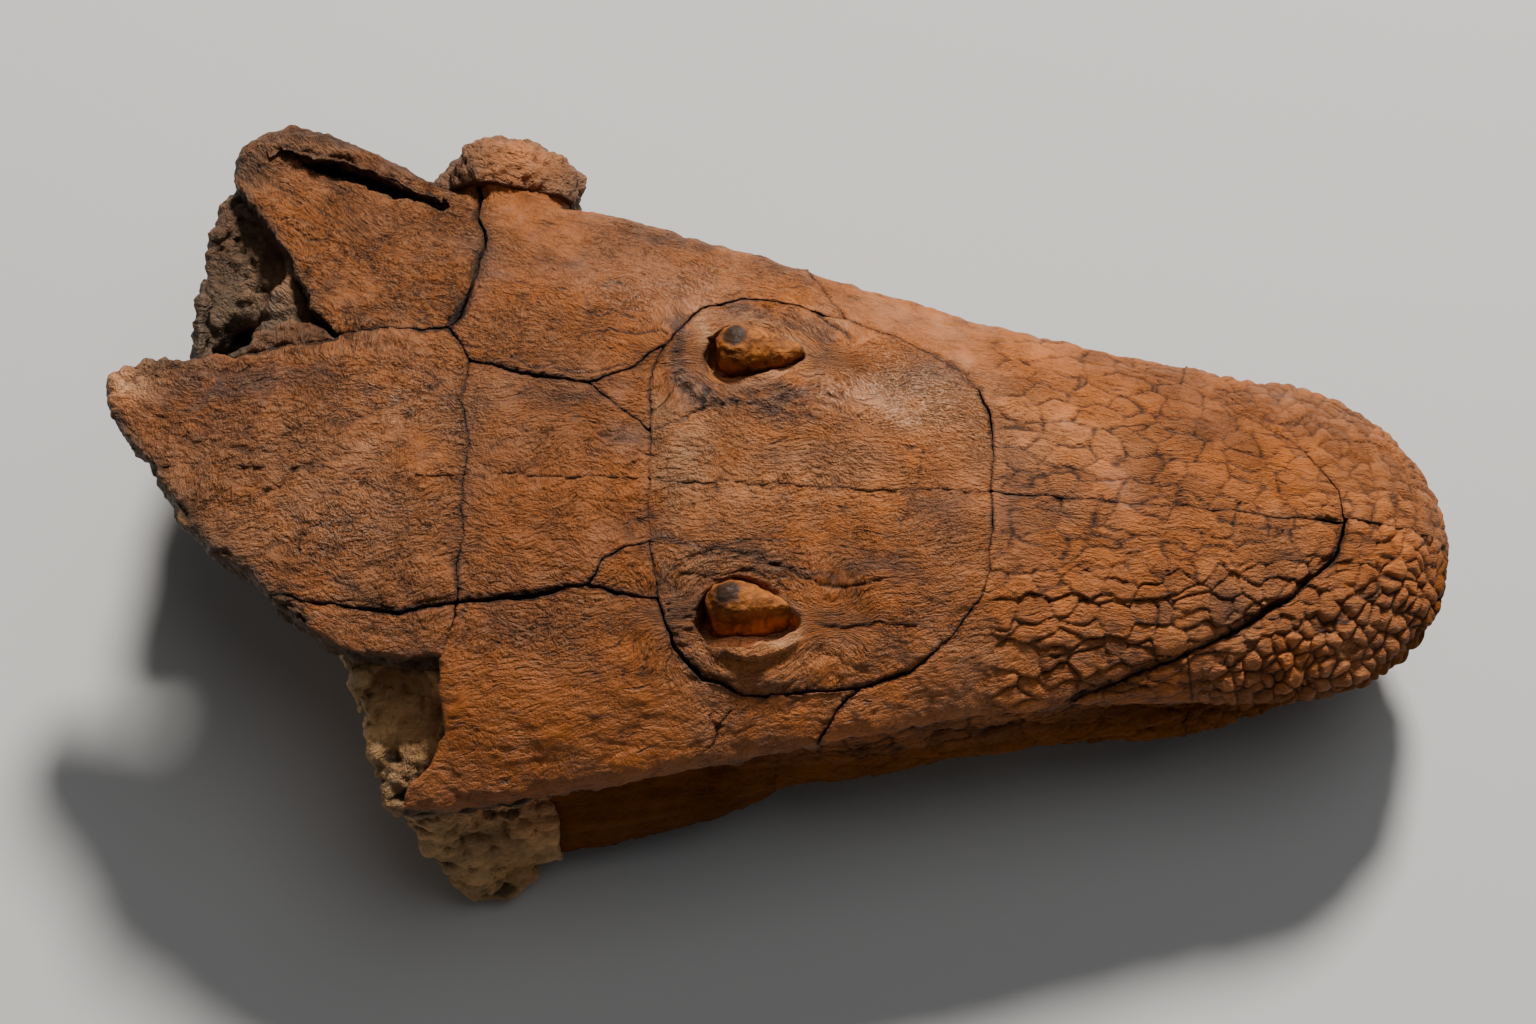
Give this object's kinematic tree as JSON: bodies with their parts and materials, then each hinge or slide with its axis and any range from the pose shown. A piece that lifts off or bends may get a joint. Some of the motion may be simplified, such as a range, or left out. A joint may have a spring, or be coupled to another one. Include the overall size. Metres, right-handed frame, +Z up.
{
  "type": "dinosaur skull fossil",
  "caption": "Dinosaur skull fossil: wedge-shaped bone roof with open seams, rounded pebbled snout, two sockets with pegs, broken at the rear, lying on its palate and two quadrates.",
  "frame": {"origin": "on the floor, below the middle of the skull's box", "axes": "+X along the skull towards the snout tip, +Y towards the skull's left side, +Z up"},
  "size_m": [0.2376, 0.1337, 0.0624],
  "materials": {
    "bone": "satin, fibrous fossil bone",
    "stone": "rough, porous broken bone and stone",
    "rust": "iron-stained, with a dark glossy end"
  },
  "bodies": {
    "root": {"parietal_left": "bone", "parietal_right": "bone", "frontal_left": "bone", "frontal_right": "bone", "postfrontal_left": "bone", "postfrontal_right": "bone", "prefrontal_left": "bone", "prefrontal_right": "bone", "nasal_left": "bone", "nasal_right": "bone", "postorbital_left": "bone", "postorbital_right": "bone", "squamosal_left": "bone", "supratemporal_right": "bone", "loose_fragment_left": "stone", "premaxilla_left": "bone", "premaxilla_right": "bone", "maxilla_left": "bone", "maxilla_right": "bone", "jugal_left": "bone", "jugal_right": "bone", "quadrate_left": "stone", "quadrate_right": "stone", "otic_block_left": "stone", "braincase": "stone", "palate": "stone", "peg_left": "rust", "peg_right": "rust"}
  },
  "joints": []
}
